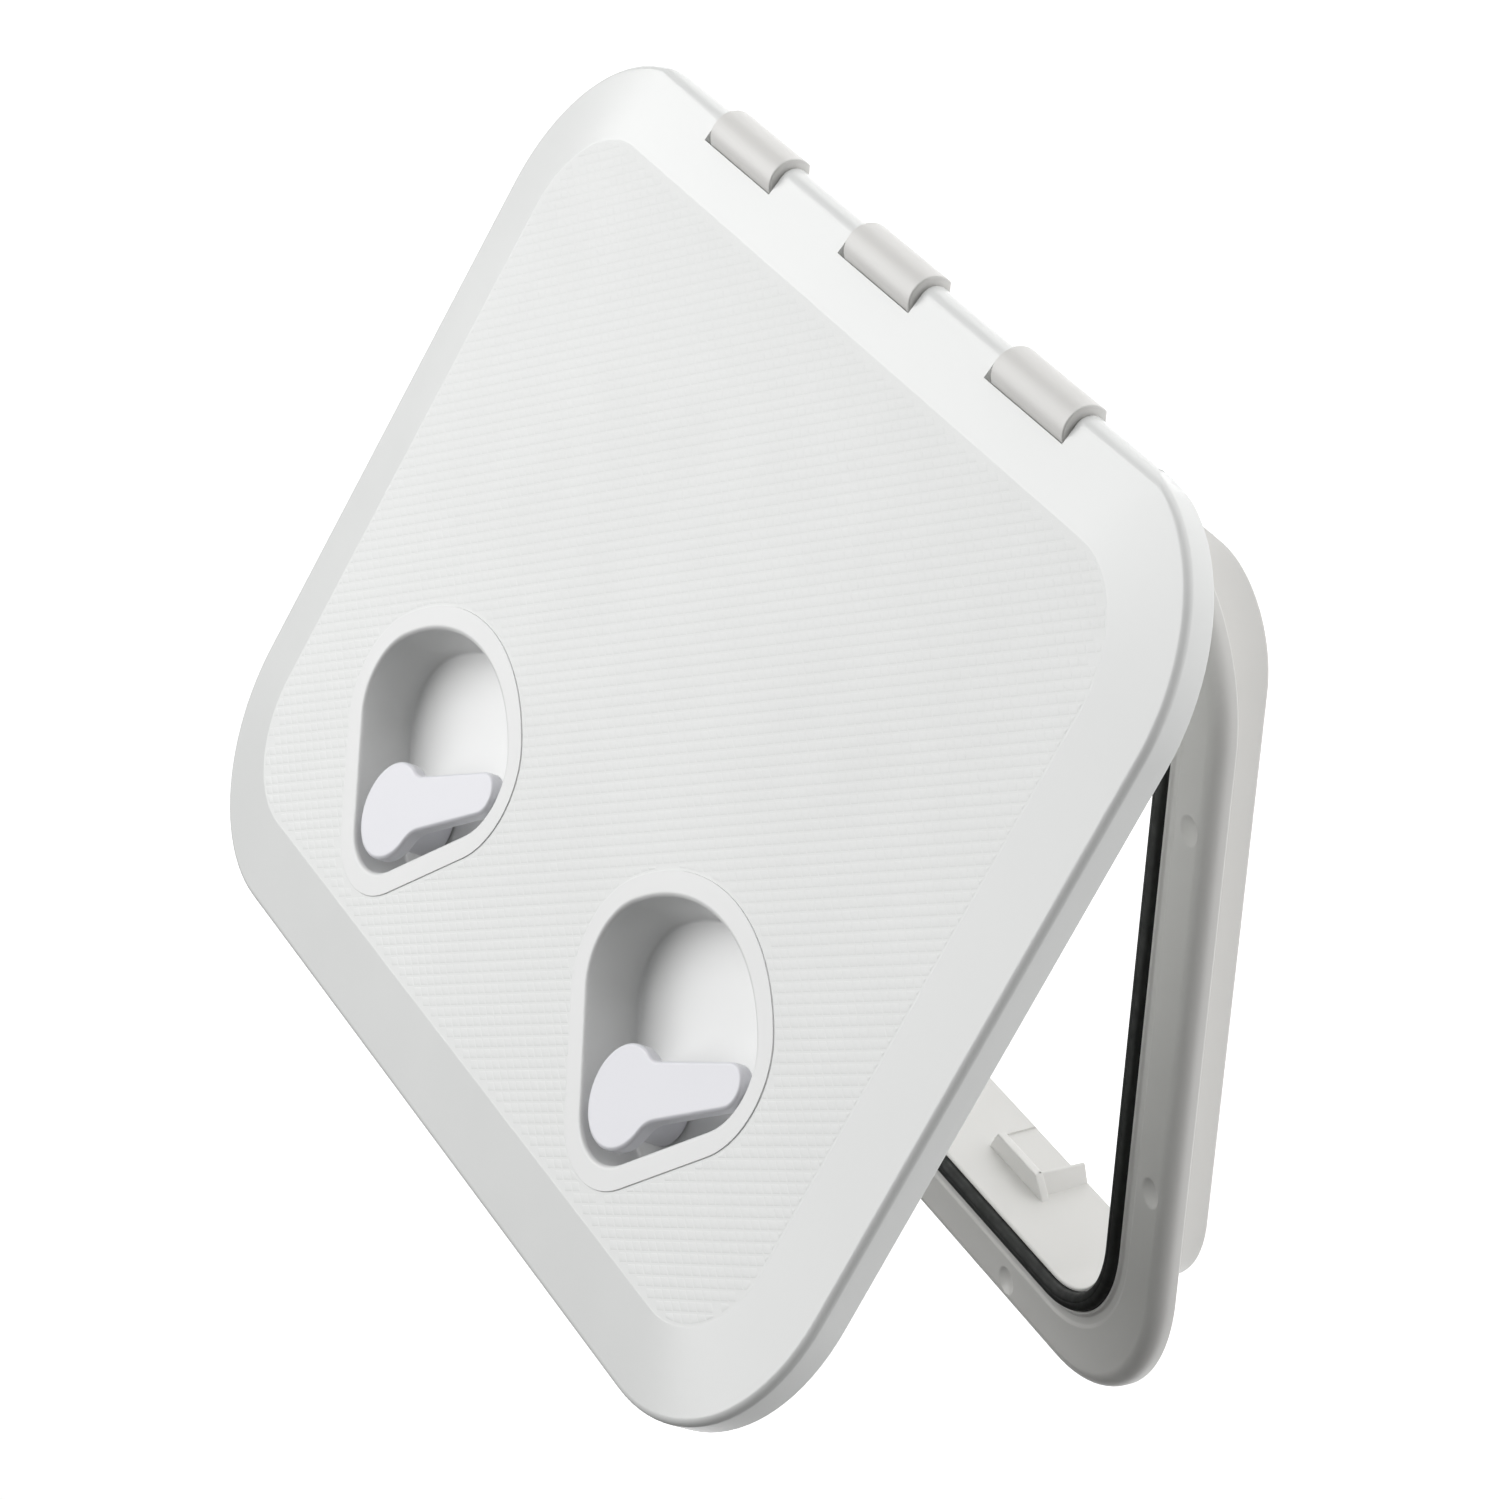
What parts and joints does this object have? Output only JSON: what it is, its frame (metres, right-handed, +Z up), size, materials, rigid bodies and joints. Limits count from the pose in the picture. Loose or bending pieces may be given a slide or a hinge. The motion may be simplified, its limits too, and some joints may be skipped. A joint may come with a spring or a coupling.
{
  "type": "deck hatch",
  "caption": "Rectangular boat deck hatch: flanged deck frame with a gasket, and a hinged lid with quarter-turn lever latches in recessed housings.",
  "frame": {"origin": "centre of the deck cut-out, on the deck plane under the frame's flange", "axes": "+X along the hinge, with the levers pointing to it at rest; +Y from the latches to the hinge; +Z up, out of the deck"},
  "size_m": [0.375, 0.2628, 0.1542],
  "materials": {
    "lid_abs": "white, glossy border and finely raised non-slip panel",
    "frame_abs": "white, satin gloss",
    "latch_nylon": "slightly bluish white, satin",
    "seal_rubber": "matt black",
    "stainless": "plain stainless steel"
  },
  "bodies": {
    "frame": {"deck_frame": "frame_abs", "frame_gasket": "seal_rubber"},
    "lid": {"lid": "lid_abs", "latch_housing_left": "lid_abs", "latch_housing_right": "lid_abs", "housing_screw_left_1": "stainless", "housing_screw_left_2": "stainless", "housing_screw_left_3": "stainless", "housing_screw_left_4": "stainless", "housing_screw_right_1": "stainless", "housing_screw_right_2": "stainless", "housing_screw_right_3": "stainless", "housing_screw_right_4": "stainless"},
    "handle_left": {"handle_left": "latch_nylon", "spindle_left": "stainless", "spindle_o_ring_left": "seal_rubber", "wear_washer_left": "latch_nylon", "cam_left": "latch_nylon", "cam_washer_left": "stainless", "cam_screw_left": "stainless"},
    "handle_right": {"handle_right": "latch_nylon", "spindle_right": "stainless", "spindle_o_ring_right": "seal_rubber", "wear_washer_right": "latch_nylon", "cam_right": "latch_nylon", "cam_washer_right": "stainless", "cam_screw_right": "stainless"}
  },
  "joints": [
    {"name": "lid_hinge", "type": "hinge", "parent": "frame", "child": "lid", "pos_m": [0, 0.1304, 0.0052], "axis": [-1, 0, 0], "range_deg": [-27.87, 142.13]},
    {"name": "handle_left_turn", "type": "hinge", "parent": "lid", "child": "handle_left", "pos_m": [-0.08, -0.05516, 0.10332], "axis": [0, 0.4675, 0.884], "range_deg": [0, 90]},
    {"name": "handle_right_turn", "type": "hinge", "parent": "lid", "child": "handle_right", "pos_m": [0.08, -0.05516, 0.10332], "axis": [0, 0.4675, 0.884], "range_deg": [0, 90]}
  ]
}
